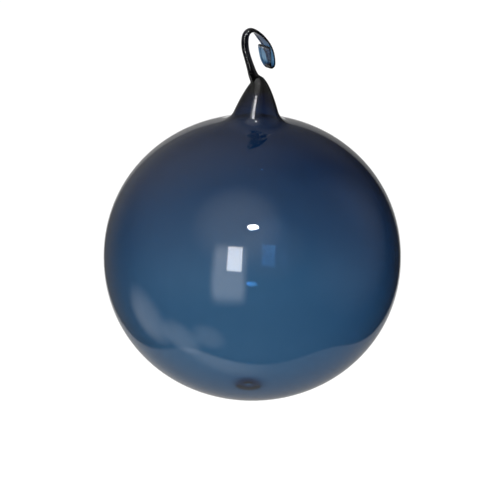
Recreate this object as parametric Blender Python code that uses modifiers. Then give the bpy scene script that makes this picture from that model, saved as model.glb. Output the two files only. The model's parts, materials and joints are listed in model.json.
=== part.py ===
"""Hand-blown blue glass bauble, hung by a hook drawn from the same glass.

Metres, Z up. The origin is the inside top of the hook's bend, where the bauble hangs, and the middle of the
ball lies straight below it. X lies in the plane of the hook, from the stem towards the curled tip.
"""

import math

import bmesh
import bpy
from mathutils import Vector

# The ball
BALL_WIDTH = 0.1195
BALL_HEIGHT = 0.1144
BALL_DROP = 0.0928  # from the origin down to the middle of the ball
BALL_FULLNESS = 2.05  # exponent of the outline: 2 is an ellipse, and more is fuller at the shoulders
BALL_RINGS = 27
BALL_RING_EASE = 1.2  # above 1 the rings lie closer together near the neck
TURNED_STEPS = 48
MERGE_WITHIN = 0.00001

# The neck, drawn up from the ball into a leaning cone with a rounded tip
NECK_TIP = -0.0169
NECK_FOOT_RADIUS = 0.0100  # at the height of the ball's top, but for the flare
NECK_TAPER = 0.614  # below 1 the tip is blunt and the sides grow steeper towards the foot
NECK_RINGS = 8
NECK_RING_EASE = 1.3
FLARE_FROM = -0.0322  # where the neck starts to widen into the ball
FLARE_RADIUS = 0.0160  # where the flare has run out on the ball
FLARE_RINGS = 5
LEAN_FROM = -0.0471
NECK_LEAN = (0.0022, -0.0019)  # how far the tip leans off the ball's axis evenly, in x and y
NECK_BOW = (-0.0016, -0.0018)  # and how far it bows over, more and more towards the tip
LEAN_RADIUS = 0.0090  # further out than this the lean fades away, to nothing where the flare runs out

# The hook, as stations along its middle line: x, z, thickness in the hook's plane, width across it, and
# how far the middle lies to the side (y). The stem is round, and the tip is pressed into a thin paddle.
ROD = 0.0029
STATIONS = (
    (0.0008, -0.0241, 0.0050, 0.0050, -0.0024),
    (0.0002, -0.0206, 0.0046, 0.0046, -0.0025),
    (-0.0007, -0.0179, 0.0040, 0.0040, -0.0022),
    (-0.0016, -0.0157, 0.0035, 0.0035, -0.0020),
    (-0.0023, -0.0136, 0.0032, 0.0032, -0.0018),
    (-0.0030, -0.0102, ROD, ROD, -0.0010),
    (-0.0032, -0.0067, ROD, ROD, 0.0003),
    (-0.0033, -0.0034, ROD, ROD, 0.0006),
    (-0.0028, -0.0008, 0.0027, 0.0029, 0.0006),
    (-0.0017, 0.0006, 0.0022, 0.0030, 0.0002),
    (0.0002, 0.0008, 0.0016, 0.0034, 0.0),
    (0.0028, -0.0008, 0.0012, 0.0046, 0.0),
    (0.0051, -0.0033, 0.0009, 0.0056, 0.0),
    (0.0072, -0.0061, 0.0008, 0.0056, 0.0),
    (0.0090, -0.0096, 0.0007, 0.0050, 0.0),
    (0.0099, -0.0132, 0.0006, 0.0046, 0.0),
    (0.0097, -0.0149, 0.0006, 0.0044, -0.0001),
    (0.0087, -0.0156, 0.0006, 0.0043, -0.0001),
    (0.0080, -0.0147, 0.0006, 0.0048, 0.0003),
    (0.0077, -0.0125, 0.0006, 0.0060, 0.0006),
    (0.0074, -0.0096, 0.0006, 0.0068, 0.0008),
    (0.0071, -0.0072, 0.0006, 0.0069, 0.0008),
)
TANGENT_STEP = 0.05  # how far ahead and behind, in stations, the line's direction is read
PRESSED_FROM = 9  # the station from which the section squares up
PRESSED_AT = 14  # the station from which it is fully a strip with rounded edges
ROUND, STRIP = 2.0, 3.5  # exponents of the section's outline
RINGS_BETWEEN = 2
SECTION_SIDES = 16
CUT_RISE = 0.0006  # the shears left the tip longer on its inner face

GLASS_COLOUR = (0.030, 0.084, 0.180, 1)
GLASS_ROUGHNESS = 0.02
GLASS_IOR = 1.5


def smooth_step(low, high, value):
    share = min(max((value - low) / (high - low), 0.0), 1.0)
    return share * share * (3 - 2 * share)


def ball_radius(z):
    rise = abs(z + BALL_DROP) / (BALL_HEIGHT / 2)
    if rise >= 1:
        return 0.0
    return BALL_WIDTH / 2 * (1 - rise**BALL_FULLNESS) ** (1 / BALL_FULLNESS)


def ball_shoulder(radius):
    """Height and slope of the ball's upper side at a distance from its axis."""
    share = radius / (BALL_WIDTH / 2)
    rise = (1 - share**BALL_FULLNESS) ** (1 / BALL_FULLNESS)
    slope = -BALL_HEIGHT / BALL_WIDTH * (share / rise) ** (BALL_FULLNESS - 1)
    return rise * BALL_HEIGHT / 2 - BALL_DROP, slope


def neck_radius(z):
    depth = (NECK_TIP - z) / (NECK_TIP + BALL_DROP - BALL_HEIGHT / 2)
    return NECK_FOOT_RADIUS * depth**NECK_TAPER


def flare():
    """Points (radius, z) of the curve that leaves the neck and meets the ball, in line with both."""
    radius = neck_radius(FLARE_FROM)
    widening = -NECK_TAPER * radius / (NECK_TIP - FLARE_FROM)
    shoulder, slope = ball_shoulder(FLARE_RADIUS)
    corner_z = (shoulder + slope * (radius - widening * FLARE_FROM - FLARE_RADIUS)) / (1 - slope * widening)
    corner_radius = radius + widening * (corner_z - FLARE_FROM)
    points = []
    for i in range(FLARE_RINGS + 1):
        t = i / FLARE_RINGS
        start, middle, end = (1 - t) ** 2, 2 * t * (1 - t), t * t
        points.append(
            (
                start * radius + middle * corner_radius + end * FLARE_RADIUS,
                start * FLARE_FROM + middle * corner_z + end * shoulder,
            )
        )
    return points


def turned_profile():
    """Points (radius, z) down the outside, from the tip of the neck to the bottom of the ball."""
    points = [(0.0, NECK_TIP)]
    for i in range(1, NECK_RINGS):
        z = NECK_TIP + (FLARE_FROM - NECK_TIP) * (i / NECK_RINGS) ** NECK_RING_EASE
        points.append((neck_radius(z), z))
    points += flare()
    shoulder = ball_shoulder(FLARE_RADIUS)[0]
    first = math.acos((shoulder + BALL_DROP) / (BALL_HEIGHT / 2))
    for i in range(1, BALL_RINGS):
        angle = first + (math.pi - first) * (i / BALL_RINGS) ** BALL_RING_EASE
        z = -BALL_DROP + BALL_HEIGHT / 2 * math.cos(angle)
        points.append((ball_radius(z), z))
    points.append((0.0, -BALL_DROP - BALL_HEIGHT / 2))
    return points


def make_ball(collection, material):
    """The ball and its neck: a turned profile whose neck is then pushed over to lean."""
    outline = bpy.data.meshes.new("outline")
    points = turned_profile()
    edges = [(i, i + 1) for i in range(len(points) - 1)]
    outline.from_pydata([(radius, 0, z) for radius, z in points], edges, [])
    guide = bpy.data.objects.new("outline", outline)
    collection.objects.link(guide)
    screw = guide.modifiers.new("turn", "SCREW")
    screw.steps = screw.render_steps = TURNED_STEPS
    screw.use_merge_vertices = True
    screw.merge_threshold = MERGE_WITHIN
    graph = bpy.context.evaluated_depsgraph_get()
    mesh = bpy.data.meshes.new_from_object(guide.evaluated_get(graph))
    bpy.data.objects.remove(guide)
    for vertex in mesh.vertices:
        held = 1 - smooth_step(LEAN_RADIUS, FLARE_RADIUS, vertex.co.xy.length)
        height = max((vertex.co.z - LEAN_FROM) / (NECK_TIP - LEAN_FROM), 0.0)
        vertex.co.x += (NECK_LEAN[0] + NECK_BOW[0] * height) * height * held
        vertex.co.y += (NECK_LEAN[1] + NECK_BOW[1] * height) * height * held
    mesh.materials.clear()
    mesh.materials.append(material)
    mesh.shade_smooth()
    ball = bpy.data.objects.new("glass_bauble", mesh)
    collection.objects.link(ball)
    return ball


def between(stations, place):
    """The station at a place counted in stations, on a smooth curve through all of them."""
    start = min(int(place), len(stations) - 2)
    share = place - start
    around = [stations[min(max(start + step, 0), len(stations) - 1)] for step in (-1, 0, 1, 2)]
    values = []
    for a, b, c, d in zip(*around):
        square = 2 * a - 5 * b + 4 * c - d
        cube = 3 * b - a - 3 * c + d
        values.append(b + 0.5 * share * (c - a + share * (square + share * cube)))
    return values


def section(bm, place):
    """One ring of the hook's section at a place along its stations."""
    x, z, thick, wide, side = between(STATIONS, place)
    before = between(STATIONS, max(place - TANGENT_STEP, 0))
    after = between(STATIONS, min(place + TANGENT_STEP, len(STATIONS) - 1))
    along = Vector((after[0] - before[0], 0, after[1] - before[1])).normalized()
    inward = Vector((along.z, 0, -along.x))
    across = Vector((0, 1, 0))
    squareness = ROUND + (STRIP - ROUND) * smooth_step(PRESSED_FROM, PRESSED_AT, place)
    is_tip = place >= len(STATIONS) - 1
    ring = []
    for i in range(SECTION_SIDES):
        angle = math.tau * (i + 0.5) / SECTION_SIDES
        u = math.copysign(abs(math.cos(angle)) ** (2 / squareness), math.cos(angle))
        v = math.copysign(abs(math.sin(angle)) ** (2 / squareness), math.sin(angle))
        point = Vector((x, side, z)) + inward * u * thick / 2 + across * v * wide / 2
        if is_tip:
            point += along * u * CUT_RISE / 2
        ring.append(bm.verts.new(point))
    return ring


def make_hook(collection, material):
    """The stem, bend and curled tip, lofted from a round section to a pressed one. Its root is in the neck."""
    bm = bmesh.new()
    steps = (len(STATIONS) - 1) * RINGS_BETWEEN
    rings = [section(bm, i / RINGS_BETWEEN) for i in range(steps + 1)]
    for ring, following in zip(rings, rings[1:]):
        for i in range(SECTION_SIDES):
            j = (i + 1) % SECTION_SIDES
            bm.faces.new((ring[i], ring[j], following[j], following[i]))
    bm.faces.new(rings[0])
    bm.faces.new(rings[-1])
    bmesh.ops.recalc_face_normals(bm, faces=bm.faces)
    mesh = bpy.data.meshes.new("hook")
    bm.to_mesh(mesh)
    bm.free()
    mesh.materials.append(material)
    mesh.shade_smooth()
    hook = bpy.data.objects.new("hook", mesh)
    collection.objects.link(hook)
    hook.hide_render = True
    hook.display_type = "WIRE"
    return hook


def make_glass():
    """Clear glass coloured a deep grey blue."""
    glass = bpy.data.materials.new("blue_glass")
    glass.use_nodes = True
    shader = glass.node_tree.nodes["Principled BSDF"]
    shader.inputs["Base Color"].default_value = GLASS_COLOUR
    shader.inputs["Roughness"].default_value = GLASS_ROUGHNESS
    shader.inputs["Metallic"].default_value = 0.0
    shader.inputs["IOR"].default_value = GLASS_IOR
    shader.inputs["Transmission Weight"].default_value = 1.0
    return glass


def main():
    for obj in list(bpy.data.objects):
        bpy.data.objects.remove(obj)
    bauble = bpy.data.collections.new("glass bauble")
    joined = bpy.data.collections.new("joined by Booleans")
    for collection in (bauble, joined):
        bpy.context.scene.collection.children.link(collection)
    glass = make_glass()
    ball = make_ball(bauble, glass)
    hook = make_hook(joined, glass)
    union = ball.modifiers.new("drawn hook", "BOOLEAN")
    union.operation = "UNION"
    union.solver = "EXACT"
    union.object = hook


main()
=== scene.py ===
import json
import math

import bmesh
import bpy
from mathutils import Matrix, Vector, noise


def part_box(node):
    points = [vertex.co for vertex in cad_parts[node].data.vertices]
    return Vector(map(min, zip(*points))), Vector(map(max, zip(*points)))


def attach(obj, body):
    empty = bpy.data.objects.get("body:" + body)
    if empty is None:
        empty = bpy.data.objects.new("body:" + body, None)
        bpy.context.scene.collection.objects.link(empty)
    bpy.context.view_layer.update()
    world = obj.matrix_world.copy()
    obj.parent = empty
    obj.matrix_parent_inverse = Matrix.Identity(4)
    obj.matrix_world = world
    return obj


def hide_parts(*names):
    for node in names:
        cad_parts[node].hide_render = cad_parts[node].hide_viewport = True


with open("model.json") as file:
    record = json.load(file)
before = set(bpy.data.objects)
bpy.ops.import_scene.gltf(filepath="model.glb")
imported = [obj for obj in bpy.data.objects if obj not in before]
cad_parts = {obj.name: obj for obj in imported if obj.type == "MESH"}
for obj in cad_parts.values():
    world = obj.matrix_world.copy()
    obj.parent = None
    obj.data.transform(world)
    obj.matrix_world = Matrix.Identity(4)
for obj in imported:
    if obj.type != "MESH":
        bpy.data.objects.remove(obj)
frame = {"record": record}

scene = bpy.context.scene
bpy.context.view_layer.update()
hang = Vector(frame["record"]["mounts"][0]["pos_m"])  # inside top of the hook's bend
low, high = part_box("glass_bauble")
print("frame loaded, bauble", [round(v * 1000, 1) for v in high - low], "mm")


def smooth(start, end, value):
    share = min(max((value - start) / (end - start), 0.0), 1.0)
    return share * share * (3 - 2 * share)


def roundedMax(a, b, reach):
    overlap = max(reach - abs(a - b), 0.0) / reach
    return max(a, b) + overlap * overlap * reach / 4


# heights are measured from the inside top of the bend
ball = {
    "width": 0.1195,
    "height": 0.1144,
    "fullness": 2.05,  # 2 is an ellipse, more is fuller at the shoulders
    "turns": 128,
    "rings": 100,
    "ringEase": 1.1,  # above 1 the rings lie closer together near the neck
    "mergeWithin": 1e-7,
}
ballMiddle = low.z - hang.z + ball["height"] / 2


def ballRadius(z):
    rise = min(abs(z - ballMiddle) / (ball["height"] / 2), 1.0)
    return ball["width"] / 2 * (1 - rise ** ball["fullness"]) ** (1 / ball["fullness"])


def ballShoulder(radius):
    # height and slope of the upper side at a distance from the axis
    share = radius / (ball["width"] / 2)
    rise = (1 - share ** ball["fullness"]) ** (1 / ball["fullness"])
    slope = -ball["height"] / ball["width"] * (share / rise) ** (ball["fullness"] - 1)
    return ballMiddle + rise * ball["height"] / 2, slope


neck = {
    "tip": -0.0169,
    "footRadius": 0.0100,  # at the height of the ball's top, but for the flare
    "taper": 0.614,
    "flareFrom": -0.0322,  # where it starts to widen into the ball
    "flareRadius": 0.0160,  # where the flare has run out on the ball
    "leanFrom": -0.0471,
    "lean": (0.0022, -0.0019),  # how far the tip leans off the axis evenly
    "bow": (-0.0016, -0.0018),  # and how far it bows over, more and more towards the tip
    "leanRadius": 0.0090,  # the lean fades away further out than this
    "rings": 62,
    "ringEase": 1.05,
    "flareRings": 20,
    "leastRadius": 0.001,  # over the tip, where the rod's root takes over
}


def neckRadius(z):
    depth = max(neck["tip"] - z, 0.0) / (neck["tip"] - ballMiddle - ball["height"] / 2)
    return neck["footRadius"] * depth ** neck["taper"]


def leanAt(z, radius=0.0):
    held = 1 - smooth(neck["leanRadius"], neck["flareRadius"], radius)
    height = max((z - neck["leanFrom"]) / (neck["tip"] - neck["leanFrom"]), 0.0)
    return (Vector(neck["lean"]) + Vector(neck["bow"]) * height) * height * held


def outlinePoints(top):
    # (radius, height) from the open top of the neck down to the bottom of the ball
    points = []
    for i in range(neck["rings"]):
        z = top + (neck["flareFrom"] - top) * (i / neck["rings"]) ** neck["ringEase"]
        points.append((max(neckRadius(z), neck["leastRadius"]), z))
    # the flare is one bend, in line with the neck and with the ball
    radius = neckRadius(neck["flareFrom"])
    widening = -neck["taper"] * radius / (neck["tip"] - neck["flareFrom"])
    shoulder, slope = ballShoulder(neck["flareRadius"])
    start = Vector((radius, neck["flareFrom"]))
    end = Vector((neck["flareRadius"], shoulder))
    drop = slope * (radius - widening * neck["flareFrom"] - end.x)
    cornerZ = (shoulder + drop) / (1 - slope * widening)
    corner = Vector((radius + widening * (cornerZ - neck["flareFrom"]), cornerZ))
    for i in range(neck["flareRings"]):
        t = i / neck["flareRings"]
        points.append(tuple(start * (1 - t) ** 2 + corner * 2 * t * (1 - t) + end * t * t))
    first = math.acos((shoulder - ballMiddle) / (ball["height"] / 2))
    for i in range(ball["rings"]):
        angle = first + (math.pi - first) * (i / ball["rings"]) ** ball["ringEase"]
        z = ballMiddle + ball["height"] / 2 * math.cos(angle)
        points.append((ballRadius(z), z))
    points.append((0.0, ballMiddle - ball["height"] / 2))
    return points


rod = 0.0029
hook = {
    # stations along the middle line: x, height, thickness in the hook's plane, width across it, side shift
    "stations": (
        (0.0008, -0.0241, 0.0050, 0.0050, -0.0024),
        (0.0002, -0.0206, 0.0046, 0.0046, -0.0025),
        (-0.0007, -0.0179, 0.0040, 0.0040, -0.0022),
        (-0.0016, -0.0157, 0.0035, 0.0035, -0.0020),
        (-0.0023, -0.0136, 0.0032, 0.0032, -0.0018),
        (-0.0030, -0.0102, rod, rod, -0.0010),
        (-0.0032, -0.0067, rod, rod, 0.0003),
        (-0.0033, -0.0034, rod, rod, 0.0006),
        (-0.0028, -0.0008, 0.0027, 0.0029, 0.0006),
        (-0.0017, 0.0006, 0.0022, 0.0030, 0.0002),
        (0.0002, 0.0008, 0.0016, 0.0034, 0.0),
        (0.0028, -0.0008, 0.0012, 0.0050, 0.0),
        (0.0051, -0.0033, 0.0008, 0.0063, 0.0),
        (0.0072, -0.0061, 0.0006, 0.0063, 0.0),
        (0.0090, -0.0096, 0.0005, 0.0055, 0.0),
        (0.0099, -0.0132, 0.0005, 0.0047, 0.0),
        (0.0097, -0.0149, 0.0008, 0.0043, 0.0),
        (0.0087, -0.0155, 0.0010, 0.0040, 0.0),
        (0.0080, -0.0146, 0.0008, 0.0049, 0.0004),
        (0.0077, -0.0125, 0.0004, 0.0066, 0.0009),
        (0.0074, -0.0096, 0.0004, 0.0074, 0.0011),
        (0.0071, -0.0072, 0.0005, 0.0075, 0.0011),
    ),
    "leaves": 3,  # the station where the rod leaves the neck
    "square": 5.5,  # its rings are level at first and square to the rod from this station
    "pressedFrom": 9,
    "pressedAt": 14,
    "round": 2.0,  # exponents of the section's outline
    "strip": 3.5,
    "ringsBetween": 6,
    "tangentStep": 0.05,  # how far ahead and behind, in stations, the line's direction is read
    "leastSlant": 0.5,  # a slanting ring is stretched by at most 1 / this
    "cutRise": 0.0011,  # the shears cut the tip at a slant
    "cutEdge": 0.00004,  # the fire rounded the cut's edge
    "cutProud": 0.00003,
    "bead": 0.8,  # how much thicker the strip is along one edge, but for the fold at the bottom
    "beadOver": (0.45, 0.95),  # shares of the half width between which it thickens
    "beadFrom": (10, 12),  # stations where it starts and is full
    "fold": 17,
    "foldReach": (2, 1),  # whole from 2 stations off the fold, and gone within 1
    "ribs": 0.00006,  # height of the draw lines in the pressed part
    "ribsFrom": (11, 15),  # stations where they start and are full
    "ribsEdge": 0.3,  # they fade out this close to the strip's edges
    # how many lines across, how fast they change along, how strong, and where each face's noise is read
    "lines": ((5.2, 0.16, 1.0, 3.1, 9.7), (11.0, 0.22, 0.5, 5.3, 1.9)),
}


def stationAt(place):
    stations = hook["stations"]
    start = min(int(place), len(stations) - 2)
    share = place - start
    around = [stations[min(max(start + step, 0), len(stations) - 1)] for step in (-1, 0, 1, 2)]
    values = []
    for a, b, c, d in zip(*around):
        bend = (2 * a - 5 * b + 4 * c - d) * share + (3 * b - a - 3 * c + d) * share**2
        values.append(b + 0.5 * share * (c - a + bend))
    return values


def tangentAt(place):
    before = stationAt(max(place - hook["tangentStep"], 0))
    after = stationAt(min(place + hook["tangentStep"], len(hook["stations"]) - 1))
    return Vector((after[0] - before[0], after[4] - before[4], after[1] - before[1])).normalized()


rooting = {
    "steps": 40,  # places read between two stations
    # heights over the neck's tip where each change starts and where it is full
    "middle": (0.0002, -0.0033),  # the rings' middle moves from the rod to the neck
    "grow": (0.0005, -0.0010),  # the neck's tip grows out of the rod
    "steepen": (-0.0053, 0.0006),
    "melt": (0.0006, -0.0004),  # the two run together
    "leastMelt": 0.02,
    "steepness": 0.14,  # a level cut of the leaning root is this much longer
    "crease": 0.00025,  # how tightly the rod's root meets the neck
    "shoulder": 0.0015,  # and on the side where they flow together
    "flowSide": math.radians(-40),
}
rootPath = [stationAt(i / rooting["steps"]) for i in range(hook["leaves"] * rooting["steps"] + 1)]


def reachOf(centre, radii, angle):
    # how far out an ellipse reaches at an angle, seen from (0, 0)
    dx, dy = math.cos(angle), math.sin(angle)
    a = dx * dx / radii[0] ** 2 + dy * dy / radii[1] ** 2
    b = dx * centre.x / radii[0] ** 2 + dy * centre.y / radii[1] ** 2
    c = centre.x ** 2 / radii[0] ** 2 + centre.y ** 2 / radii[1] ** 2 - 1
    inside = b * b - a * c
    return (b + math.sqrt(inside)) / a if inside > 0 else 0.0


def rooted(change, z):
    start, full = rooting[change]
    return smooth(neck["tip"] + start, neck["tip"] + full, z)


def rootedPoint(z, angle):
    # a point of the outside where the neck and the rod's root run together
    nearest = min(rootPath, key=lambda station: abs(station[1] - z))
    root, rodRadius = Vector((nearest[0], nearest[4])), nearest[2] / 2
    lean, grown = leanAt(z), rooted("grow", z)
    centre = root.lerp(lean, rooted("middle", z))
    radius = rodRadius + (neckRadius(z) - rodRadius) * grown
    far = reachOf(root.lerp(lean, grown) - centre, (radius, radius), angle)
    steep = 1 + rooting["steepness"] * rooted("steepen", z)
    flowing = (1 + math.cos(angle - rooting["flowSide"])) / 2
    reach = rooting["crease"] + (rooting["shoulder"] - rooting["crease"]) * flowing**2
    reach *= rooting["leastMelt"] + (1 - rooting["leastMelt"]) * rooted("melt", z)
    far = roundedMax(far, reachOf(root - centre, (rodRadius * steep, rodRadius), angle), reach)
    return Vector((centre.x + far * math.cos(angle), centre.y + far * math.sin(angle), z))


def turnSkin():
    # the outline spun round the axis, then leant and run into the rod's root
    bm = bmesh.new()
    verts = [bm.verts.new((r, 0, z)) for r, z in outlinePoints(hook["stations"][hook["leaves"]][1])]
    edges = [bm.edges.new(pair) for pair in zip(verts, verts[1:])]
    bmesh.ops.spin(bm, geom=verts + edges, cent=(0, 0, 0), axis=(0, 0, 1), dvec=(0, 0, 0),
                   angle=math.tau, steps=ball["turns"], use_merge=True, use_duplicate=False)
    bmesh.ops.remove_doubles(bm, verts=bm.verts, dist=ball["mergeWithin"])
    for v in bm.verts:
        radius = v.co.xy.length
        if v.co.z > hook["stations"][0][1]:
            v.co = rootedPoint(v.co.z, math.atan2(v.co.y, v.co.x))
        else:
            v.co.xy += leanAt(v.co.z, radius)
    bmesh.ops.recalc_face_normals(bm, faces=bm.faces)
    bm.normal_update()
    lowest = min(bm.verts, key=lambda v: v.co.z)
    if lowest.normal.z > 0:
        bmesh.ops.reverse_faces(bm, faces=bm.faces)
        bm.normal_update()
    return bm


pip = {  # the closed end of the tube, a thick ring beside the bottom pole
    "fromPole": math.radians(6.0),
    "azimuth": math.radians(154),
    "reach": 0.0040,
    "inside": 0.0,  # how far it stands into the hollow
    "outside": 0.0013,
    "dimple": 1.0,  # share by which its middle is thinner
    "dimpleReach": 0.0024,
    "endsAt": 3.0,  # in reaches
    "fineTo": 2.4,  # the mesh is finer this far out, in reaches
    "cuts": 2,
}


def swellPip(bm, height):
    a, e = pip["azimuth"], pip["fromPole"]
    aim = Vector((math.sin(a) * math.sin(e), -math.cos(a) * math.sin(e), -math.cos(e)))
    centre = Vector((0, 0, ballMiddle))
    spot = max(bm.verts, key=lambda v: (v.co - centre).normalized().dot(aim)).co.copy()
    fine = pip["reach"] * pip["fineTo"]
    near = {e for f in bm.faces if (f.calc_center_median() - spot).length < fine for e in f.edges}
    bmesh.ops.subdivide_edges(bm, edges=list(near), cuts=pip["cuts"], use_grid_fill=True)
    for v in bm.verts:
        away = (v.co - spot).length
        if away > pip["reach"] * pip["endsAt"]:
            continue
        lump = math.exp(-((away / pip["reach"]) ** 2))
        dimple = 1 - pip["dimple"] * math.exp(-((away / pip["dimpleReach"]) ** 2))
        v.co += (v.co - centre).normalized() * height * lump * dimple


wall = {  # thickness, which grows towards the neck
    "bottom": 0.00031,
    "middle": 0.00040,
    "shoulder": 0.00062,
    "neckFoot": 0.00061,
    "neckTop": 0.00100,
    "belowMiddle": 0.03,  # it starts to grow this far under the middle of the ball
    "underTop": 0.005,  # the shoulder ends this far under the top of the ball
    "overTop": 0.001,  # and the neck starts this far over it
    "uneven": 0.09,  # share by which one side of the ball is thicker and the other thinner
    "thickSide": math.radians(-40),
    "hollowTop": -0.0238,  # where the hollow starts to round off
    "dome": 0.0014,
    "domeRings": 7,
    "smoothed": 0.004,  # the hollow is smoothed down to this far under its top
    "smoothings": 6,
    "smoothing": 0.5,
    "mergeWithin": 1e-6,
}


def wallAt(point):
    z = point.z
    ballTop = ballMiddle + ball["height"] / 2
    heights = (ballMiddle - wall["belowMiddle"], ballMiddle, ballTop - wall["underTop"],
               ballTop + wall["overTop"], wall["hollowTop"])
    names = ("bottom", "middle", "shoulder", "neckFoot", "neckTop")
    thick = wall["bottom"]
    for lower, upper, start, end in zip(names, names[1:], heights, heights[1:]):
        thick += (wall[upper] - wall[lower]) * smooth(start, end, z)
    aside = point.x * math.cos(wall["thickSide"]) + point.y * math.sin(wall["thickSide"])
    return thick * (1 + wall["uneven"] * aside / (ball["width"] / 2))


def hollowOf(skin):
    # the skin moved in by the wall's thickness, cut off in the neck and rounded there
    bm = skin.copy()
    bm.normal_update()
    moves = [(v, v.normal * wallAt(v.co)) for v in bm.verts]
    for v, move in moves:
        v.co -= move
    top = wall["hollowTop"]
    everything = bm.verts[:] + bm.edges[:] + bm.faces[:]
    bmesh.ops.bisect_plane(bm, geom=everything, dist=ball["mergeWithin"], plane_co=(0, 0, top),
                           plane_no=(0, 0, 1), clear_outer=True)
    rim = [e for e in bm.edges if e.is_boundary]
    ring = list({v for e in rim for v in e.verts})
    middle = sum((v.co for v in ring), Vector()) / len(ring)
    step = math.pi / 2 / wall["domeRings"]
    for i in range(1, wall["domeRings"] + 1):
        shrink = math.cos(i * step) / math.cos((i - 1) * step)
        made = bmesh.ops.extrude_edge_only(bm, edges=rim)["geom"]
        rim = [e for e in made if isinstance(e, bmesh.types.BMEdge)]
        for v in (v for v in made if isinstance(v, bmesh.types.BMVert)):
            v.co.xy = middle.xy + (v.co.xy - middle.xy) * max(shrink, 0)
            v.co.z = top + wall["dome"] * math.sin(i * step)
    bmesh.ops.remove_doubles(bm, verts=bm.verts, dist=wall["mergeWithin"])
    upper = [v for v in bm.verts if v.co.z > top - wall["smoothed"]]
    for i in range(wall["smoothings"]):
        bmesh.ops.smooth_vert(bm, verts=upper, factor=wall["smoothing"], use_axis_x=True,
                              use_axis_y=True, use_axis_z=True)
    bmesh.ops.recalc_face_normals(bm, faces=bm.faces)
    return bm


def hookPoint(place, turn, turns):
    x, z, thick, wide, side = stationAt(place)
    tangent = tangentAt(place)
    along = Vector((0, 0, 1)).lerp(tangent, smooth(hook["leaves"], hook["square"], place)).normalized()
    inward = Vector((along.z, 0, -along.x)).normalized()
    stretch = 1 / max(along.dot(tangent), hook["leastSlant"])
    squareness = hook["round"] + (hook["strip"] - hook["round"]) * smooth(
        hook["pressedFrom"], hook["pressedAt"], place)
    angle = math.tau * turn / turns
    u = math.copysign(abs(math.cos(angle)) ** (2 / squareness), math.cos(angle))
    v = math.copysign(abs(math.sin(angle)) ** (2 / squareness), math.sin(angle))
    beaded = smooth(*hook["beadOver"], v) * smooth(*hook["beadFrom"], place)
    beaded *= 1 - smooth(*hook["foldReach"], abs(place - hook["fold"]))
    thick *= 1 + hook["bead"] * beaded
    ribbed = smooth(*hook["ribsFrom"], place) * smooth(0, hook["ribsEdge"], abs(math.cos(angle)))
    grain = 0.0
    for across, lengthways, share, inner, outer in hook["lines"]:
        spot = Vector((v * across, place * lengthways, inner if u > 0 else outer))
        grain += share * noise.noise(spot)
    point = Vector((x, side + v * wide / 2, z))
    point += inward * (u * thick / 2 * stretch + math.copysign(hook["ribs"] * ribbed * grain, u))
    if place >= len(hook["stations"]) - 1:
        point += along * u * hook["cutRise"] / 2
    return point


def drawHook(bm):
    # draws the open top of the neck out along the hook and closes it at the cut tip
    turns = ball["turns"]
    turnOf = bm.verts.layers.int.new("turn")
    rim = [e for e in bm.edges if e.is_boundary]
    x, z, thick, wide, side = stationAt(hook["leaves"])
    for v in {v for e in rim for v in e.verts}:
        v[turnOf] = round(math.atan2(v.co.y - side, v.co.x - x) / math.tau * turns) % turns
    steps = (len(hook["stations"]) - 1 - hook["leaves"]) * hook["ringsBetween"]
    for step in range(1, steps + 1):
        made = bmesh.ops.extrude_edge_only(bm, edges=rim)["geom"]
        rim = [e for e in made if isinstance(e, bmesh.types.BMEdge)]
        place = hook["leaves"] + step / hook["ringsBetween"]
        for v in (v for v in made if isinstance(v, bmesh.types.BMVert)):
            v.co = hookPoint(place, v[turnOf], turns)
    cut = bmesh.ops.holes_fill(bm, edges=rim, sides=0)["faces"]
    bmesh.ops.inset_region(bm, faces=cut, thickness=hook["cutEdge"], depth=hook["cutProud"])


def buildGlass():
    skin = turnSkin()
    hollow = hollowOf(skin)
    swellPip(hollow, -pip["inside"])
    bmesh.ops.reverse_faces(hollow, faces=hollow.faces)  # the hollow faces its own air
    swellPip(skin, pip["outside"])
    drawHook(skin)
    bmesh.ops.recalc_face_normals(skin, faces=skin.faces)
    inside = bpy.data.meshes.new("hollow")
    hollow.to_mesh(inside)
    hollow.free()
    skin.from_mesh(inside)
    bpy.data.meshes.remove(inside)
    bmesh.ops.translate(skin, verts=skin.verts, vec=hang)
    mesh = bpy.data.meshes.new("blown_glass")
    skin.to_mesh(mesh)
    skin.free()
    for face in mesh.polygons:
        face.use_smooth = len(face.vertices) < ball["turns"]  # all but the cut end
    obj = bpy.data.objects.new("blown_glass", mesh)
    scene.collection.objects.link(obj)
    return obj


def addNode(tree, kind, place, **inputs):
    node = tree.nodes.new(kind)
    node.location = place
    for name, value in inputs.items():
        node.inputs[name.replace("_", " ")].default_value = value
    return node


def calc(tree, operation, place, *values):
    # a math node whose values are numbers or other nodes' outputs
    node = tree.nodes.new("ShaderNodeMath")
    node.operation = operation
    node.location = place
    for socket, value in zip(node.inputs, values):
        if isinstance(value, (int, float)):
            socket.default_value = value
        else:
            tree.links.new(value, socket)
    return node.outputs["Value"]


def ramp(tree, value, start, end, place, to=(0, 1)):
    node = addNode(tree, "ShaderNodeMapRange", place)
    node.interpolation_type = "SMOOTHSTEP"
    node.inputs["From Min"].default_value = start
    node.inputs["From Max"].default_value = end
    node.inputs["To Min"].default_value = to[0]
    node.inputs["To Max"].default_value = to[1]
    tree.links.new(value, node.inputs["Value"])
    return node.outputs["Result"]


glassLook = {
    "absorbs": (4500, 3050, 2130),  # red, green and blue per metre of glass
    "headroom": 1.02,  # keeps the absorption's colour over black in every channel
    "roughness": 0.012,
    "smudged": 0.04,
    "smudges": (0.45, 0.75),  # where in the noise they start and are full
    "ior": 1.5,
    "streaks": 90,
    "streakLength": 0.12,  # squeezed this much along the draw
    "streakTint": (0.955, 0.972, 0.985, 1),
    "streakOver": (0.25, 0.75),
    "streakHeight": 0.12,  # against the waves
    "waves": 28,
    "bump": 0.25,
    "bumpDepth": 0.0006,
}


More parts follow.
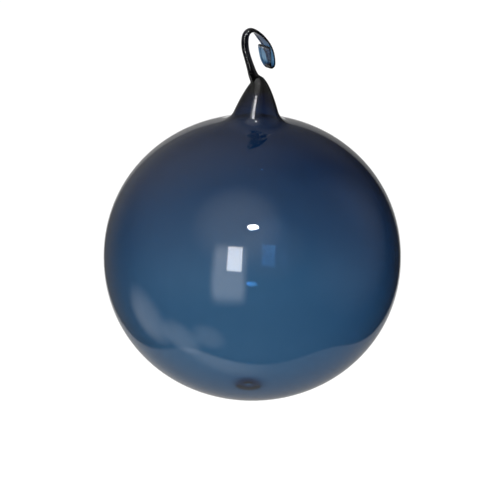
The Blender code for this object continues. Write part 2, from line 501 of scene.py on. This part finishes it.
def flawsGroup():
    # soft streaks from the draw and a gentle waviness, as every blown piece has
    group = bpy.data.node_groups.new("blownGlassFlaws", "ShaderNodeTree")
    face = group.interface
    face.new_socket("Streak Scale", in_out="INPUT", socket_type="NodeSocketFloat")
    face.new_socket("Wave Scale", in_out="INPUT", socket_type="NodeSocketFloat")
    face.new_socket("Tint", in_out="OUTPUT", socket_type="NodeSocketColor")
    face.new_socket("Roughness", in_out="OUTPUT", socket_type="NodeSocketFloat")
    face.new_socket("Height", in_out="OUTPUT", socket_type="NodeSocketFloat")
    takes = addNode(group, "NodeGroupInput", (-900, 0))
    gives = addNode(group, "NodeGroupOutput", (700, 0))
    coords = addNode(group, "ShaderNodeTexCoord", (-900, -200))
    upright = addNode(group, "ShaderNodeMapping", (-700, 100), Scale=(1, 1, glassLook["streakLength"]))
    streak = addNode(group, "ShaderNodeTexNoise", (-500, 100), Detail=3, Roughness=0.55)
    wave = addNode(group, "ShaderNodeTexNoise", (-500, -200), Detail=1.5, Roughness=0.4)
    smudge = addNode(group, "ShaderNodeTexNoise", (-500, -450), Scale=22, Detail=6, Roughness=0.7,
                     Distortion=0.6)
    link = group.links.new
    link(coords.outputs["Object"], upright.inputs["Vector"])
    link(upright.outputs["Vector"], streak.inputs["Vector"])
    link(coords.outputs["Object"], wave.inputs["Vector"])
    link(coords.outputs["Object"], smudge.inputs["Vector"])
    link(takes.outputs["Streak Scale"], streak.inputs["Scale"])
    link(takes.outputs["Wave Scale"], wave.inputs["Scale"])
    tint = addNode(group, "ShaderNodeValToRGB", (-250, 100))
    tint.color_ramp.elements[0].color = glassLook["streakTint"]
    for element, position in zip(tint.color_ramp.elements, glassLook["streakOver"]):
        element.position = position
    link(streak.outputs["Fac"], tint.inputs["Fac"])
    link(tint.outputs["Color"], gives.inputs["Tint"])
    rough = ramp(group, smudge.outputs["Fac"], *glassLook["smudges"], (-250, -450),
                 to=(glassLook["roughness"], glassLook["smudged"]))
    link(rough, gives.inputs["Roughness"])
    height = calc(group, "MULTIPLY_ADD", (-250, -200), streak.outputs["Fac"], glassLook["streakHeight"],
                  wave.outputs["Fac"])
    link(height, gives.inputs["Height"])
    return group


def blueGlass():
    mat = bpy.data.materials.new("blue glass")
    mat.use_nodes = True
    tree = mat.node_tree
    shader = tree.nodes["Principled BSDF"]
    shader.inputs["Transmission Weight"].default_value = 1.0
    shader.inputs["Metallic"].default_value = 0.0
    shader.inputs["IOR"].default_value = glassLook["ior"]
    flaws = addNode(tree, "ShaderNodeGroup", (-500, 100))
    flaws.node_tree = flawsGroup()
    flaws.inputs["Streak Scale"].default_value = glassLook["streaks"]
    flaws.inputs["Wave Scale"].default_value = glassLook["waves"]
    bump = addNode(tree, "ShaderNodeBump", (-250, -200), Strength=glassLook["bump"],
                   Distance=glassLook["bumpDepth"])
    tree.links.new(flaws.outputs["Tint"], shader.inputs["Base Color"])
    tree.links.new(flaws.outputs["Roughness"], shader.inputs["Roughness"])
    tree.links.new(flaws.outputs["Height"], bump.inputs["Height"])
    tree.links.new(bump.outputs["Normal"], shader.inputs["Normal"])
    most = max(glassLook["absorbs"]) * glassLook["headroom"]
    tint = [1 - a / most for a in glassLook["absorbs"]]
    depth = addNode(tree, "ShaderNodeVolumeAbsorption", (50, -350), Color=(*tint, 1), Density=most)
    tree.links.new(depth.outputs["Volume"], tree.nodes["Material Output"].inputs["Volume"])
    return mat


glass = buildGlass()
glass.data.materials.append(blueGlass())
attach(glass, "root")
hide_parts("glass_bauble")
print("glass built,", sum(len(p.vertices) - 2 for p in glass.data.polygons), "triangles")

studio = {
    "azimuth": math.radians(320),
    "elevation": math.radians(18),
    "distance": 1.25,
    "viewWidth": 0.20095,  # what the camera sees from side to side at the ball
    "aimLeft": 0.00092,
    "aimAbove": 0.00276,  # the camera aims a little over the middle of the ball
    "seesTo": 50,
    "floorBelow": 0.45,
    "floorRadius": 3.6,
    "floorSides": 96,
    "floorColour": (0.92, 0.92, 0.92, 1),
    "floorRoughness": 0.9,
    "floorShine": 0.2,
    "lightPower": 4,  # watts a square metre for each step of brightness
}

back = Vector((math.sin(studio["azimuth"]), -math.cos(studio["azimuth"]), 0))  # level, ball to camera
side = Vector((-back.y, back.x, 0))  # to the camera's right
ballCentre = hang + Vector((0, 0, ballMiddle))


def placeCamera():
    data = bpy.data.cameras.new("camera")
    data.lens = data.sensor_width * studio["distance"] / studio["viewWidth"]
    data.clip_end = studio["seesTo"]
    cam = bpy.data.objects.new("camera", data)
    scene.collection.objects.link(cam)
    lift = studio["elevation"]
    towards = back * math.cos(lift) + Vector((0, 0, math.sin(lift)))
    above = Vector((0, 0, math.cos(lift))) - back * math.sin(lift)
    aim = ballCentre + above * studio["aimAbove"] - side * studio["aimLeft"]
    cam.location = aim + towards * studio["distance"]
    cam.rotation_euler = (-towards).to_track_quat("-Z", "Y").to_euler()
    scene.camera = cam


def layFloor():
    mat = bpy.data.materials.new("pale floor")
    mat.use_nodes = True
    shader = mat.node_tree.nodes["Principled BSDF"]
    shader.inputs["Base Color"].default_value = studio["floorColour"]
    shader.inputs["Roughness"].default_value = studio["floorRoughness"]
    shader.inputs["Specular IOR Level"].default_value = studio["floorShine"]
    bm = bmesh.new()
    bmesh.ops.create_circle(bm, cap_ends=True, segments=studio["floorSides"], radius=studio["floorRadius"])
    bmesh.ops.translate(bm, verts=bm.verts, vec=(0, 0, low.z - studio["floorBelow"]))
    mesh = bpy.data.meshes.new("floor")
    bm.to_mesh(mesh)
    bm.free()
    floor = bpy.data.objects.new("floor", mesh)
    floor.data.materials.append(mat)
    floor.visible_glossy = False  # what the glass mirrors is in the surroundings below
    floor.visible_transmission = False
    scene.collection.objects.link(floor)


lights = {
    # degrees right of the camera and above level, seen from the ball; distance, width, height in metres;
    # brightness; and the share of each side over which it fades out
    "curtain": {"right": -18, "up": 5, "away": 1.6, "wide": 0.90, "high": 1.60, "bright": 2.0, "fade": 0.25},
    "window": {"right": -14, "up": 17, "away": 1.5, "wide": 0.30, "high": 0.54, "bright": 9, "fade": 0.04},
    "lamp": {"right": 0.2, "up": 43.2, "away": 1.6, "wide": 0.22, "high": 0.115, "bright": 40, "fade": 0.0},
}


def hangLight(name):
    values = lights[name]
    a, e = math.radians(values["right"]), math.radians(values["up"])
    towards = (back * math.cos(a) + side * math.sin(a)) * math.cos(e) + Vector((0, 0, math.sin(e)))
    data = bpy.data.lights.new(name, "AREA")
    data.shape = "RECTANGLE" if values["fade"] else "ELLIPSE"
    data.size, data.size_y = values["wide"], values["high"]
    data.energy = values["bright"] * values["wide"] * values["high"] * studio["lightPower"]
    if values["fade"]:
        data.use_nodes = True
        tree = data.node_tree
        where = addNode(tree, "ShaderNodeNewGeometry", (-800, 0))
        apart = addNode(tree, "ShaderNodeSeparateXYZ", (-600, 0))
        tree.links.new(where.outputs["Parametric"], apart.inputs[0])
        falls = []
        for i, axis in enumerate("XY"):
            inward = calc(tree, "PINGPONG", (-450, -200 * i), apart.outputs[axis], 0.5)  # 0 at both edges
            falls.append(ramp(tree, inward, 0, values["fade"], (-300, -200 * i)))
        tree.links.new(calc(tree, "MULTIPLY", (-100, 0), *falls), tree.nodes["Emission"].inputs["Strength"])
    light = bpy.data.objects.new(name, data)
    light.location = ballCentre + towards * values["away"]
    light.rotation_euler = towards.to_track_quat("Z", "Y").to_euler()
    scene.collection.objects.link(light)


mirrored = {
    "dim": 0.04,
    "floorLift": 0.16,  # extra white on the floor
    # the white sheet under the bauble, in heights of the bauble over it
    "sheetWide": 0.84,
    "sheetAside": 0.04,
    "sheetRound": 0.87,  # its near end is rounded over this length
    "sheetCorner": 4,  # 2 is an ellipse, more is squarer
    "sheetFrom": 0.60,  # and straight from here on
    "sheetTurn": 0.15,  # its near edge is further off on the right
    "sheetFade": (1.03, 0.95),  # around its outline, which is at 1
    "horizonFade": (0.0, 0.15),  # it fades out towards the horizon
    "leastDown": 0.001,  # rays that don't go down are read as this steep
    "sheetBright": 0.45,
    "rimBright": 0.75,  # the left of its near edge is brighter
    "rimFade": (-0.55, -0.85),
    "rimLeft": (0.3, -0.4),
    # right, ahead and up from the bauble; where the glow starts and where it is full; how strong
    "glows": (
        ((-0.20, -0.68, 0.70), 0.79, 1.0, 0.95),  # the lit room over the camera
        ((0.28, -0.86, 0.42), 0.86, 1.0, 0.30),
        ((-0.45, -0.34, 0.82), 0.10, 1.0, 0.50),
        ((0.95, -0.10, 0.25), 0.60, 1.0, 0.33),  # and on the right
        ((0.70, 0.50, 0.50), 0.80, 1.0, 0.10),
        ((-0.90, 0.25, 0.14), 0.30, 1.0, 0.12),
        ((-0.83, 0.11, -0.54), 0.950, 1.0, 1.15),  # a white card low on the left
        ((-0.66, -0.21, -0.72), 0.965, 1.0, 1.15),
        ((-0.46, -0.52, -0.72), 0.975, 1.0, 0.90),
        ((0.03, 0.99, -0.09), 0.925, 0.955, 0.32),  # the backdrop
        ((-0.30, 0.91, -0.16), 0.70, 1.0, 0.12),
        ((-0.25, 0.70, 0.67), 0.55, 1.0, 0.22),
    ),
}


def facing(tree, coords, direction, place):
    # how straight a ray goes in a direction: 1 is along it and 0 square to it
    node = addNode(tree, "ShaderNodeVectorMath", place)
    node.operation = "DOT_PRODUCT"
    node.inputs[1].default_value = direction
    tree.links.new(coords.outputs["Generated"], node.inputs[0])
    return node.outputs["Value"]


def sheetGlow(tree, coords):
    # a lit sheet with rounded corners, which lies under the bauble and runs on behind it
    ahead = facing(tree, coords, -back, (-1200, 200))
    right = facing(tree, coords, side, (-1200, 0))
    down = facing(tree, coords, (0, 0, -1), (-1200, -200))
    depth = calc(tree, "MAXIMUM", (-1000, -200), down, mirrored["leastDown"])
    far = calc(tree, "DIVIDE", (-800, 200), ahead, depth)
    wide = calc(tree, "DIVIDE", (-800, 0), right, depth)
    across = calc(tree, "SUBTRACT", (-750, 0), wide, mirrored["sheetAside"])
    across = calc(tree, "DIVIDE", (-700, 0), across, mirrored["sheetWide"])
    near = calc(tree, "MULTIPLY_ADD", (-700, 200), wide, -mirrored["sheetTurn"], far)
    near = calc(tree, "SUBTRACT", (-600, 200), near, mirrored["sheetFrom"])
    near = calc(tree, "MINIMUM", (-550, 200), near, 0)
    near = calc(tree, "DIVIDE", (-500, 200), near, mirrored["sheetRound"])
    powers = []
    for value in (across, near):
        value = calc(tree, "ABSOLUTE", (-450, 0), value)
        powers.append(calc(tree, "POWER", (-400, 0), value, mirrored["sheetCorner"]))
    edge = calc(tree, "ADD", (-300, 0), *powers)
    edge = calc(tree, "POWER", (-200, 0), edge, 1 / mirrored["sheetCorner"])  # 1 on the outline
    sheet = ramp(tree, edge, *mirrored["sheetFade"], (0, 100))
    under = ramp(tree, down, *mirrored["horizonFade"], (0, -100))
    rim = ramp(tree, near, *mirrored["rimFade"], (0, -300), to=(0, mirrored["rimBright"]))
    left = ramp(tree, across, *mirrored["rimLeft"], (0, -400))
    bright = calc(tree, "MULTIPLY_ADD", (200, -300), rim, left, mirrored["sheetBright"])
    return calc(tree, "MULTIPLY", (200, 0), calc(tree, "MULTIPLY", (200, 100), sheet, under), bright)


def surroundings():
    # white all round, but what the glass mirrors is a dim room with a lit sheet behind the bauble
    world = bpy.data.worlds.new("studio")
    scene.world = world
    world.use_nodes = True
    tree = world.node_tree
    tree.nodes.clear()
    coords = addNode(tree, "ShaderNodeTexCoord", (-1400, 0))
    total = sheetGlow(tree, coords)
    for i, (aim, start, full, strength) in enumerate(mirrored["glows"]):
        aim = (side * aim[0] - back * aim[1] + Vector((0, 0, aim[2]))).normalized()
        level = 400 + i * 200
        amount = ramp(tree, facing(tree, coords, aim, (-400, level)), start, full, (-200, level))
        total = calc(tree, "MULTIPLY_ADD", (0, level), amount, strength, total)
    total = calc(tree, "ADD", (600, 300), total, mirrored["dim"])
    room = addNode(tree, "ShaderNodeBackground", (800, 100))
    tree.links.new(total, room.inputs["Strength"])
    white = addNode(tree, "ShaderNodeBackground", (800, -100), Color=(1, 1, 1, 1))
    path = addNode(tree, "ShaderNodeLightPath", (400, 1000))
    diffuse = path.outputs["Is Diffuse Ray"]
    lift = calc(tree, "MULTIPLY_ADD", (600, -200), diffuse, mirrored["floorLift"], 1.0)
    tree.links.new(lift, white.inputs["Strength"])
    once = calc(tree, "MODULO", (600, 900), path.outputs["Glossy Depth"], 2)  # light mirrored twice is white
    mix = addNode(tree, "ShaderNodeMixShader", (1000, 0))
    tree.links.new(once, mix.inputs["Fac"])
    tree.links.new(white.outputs["Background"], mix.inputs[1])
    tree.links.new(room.outputs["Background"], mix.inputs[2])
    out = addNode(tree, "ShaderNodeOutputWorld", (1200, 0))
    tree.links.new(mix.outputs["Shader"], out.inputs["Surface"])


placeCamera()
layFloor()
surroundings()
for name in lights:
    hangLight(name)
scene.view_settings.view_transform = "Standard"
scene.view_settings.look = "None"
print("studio set")
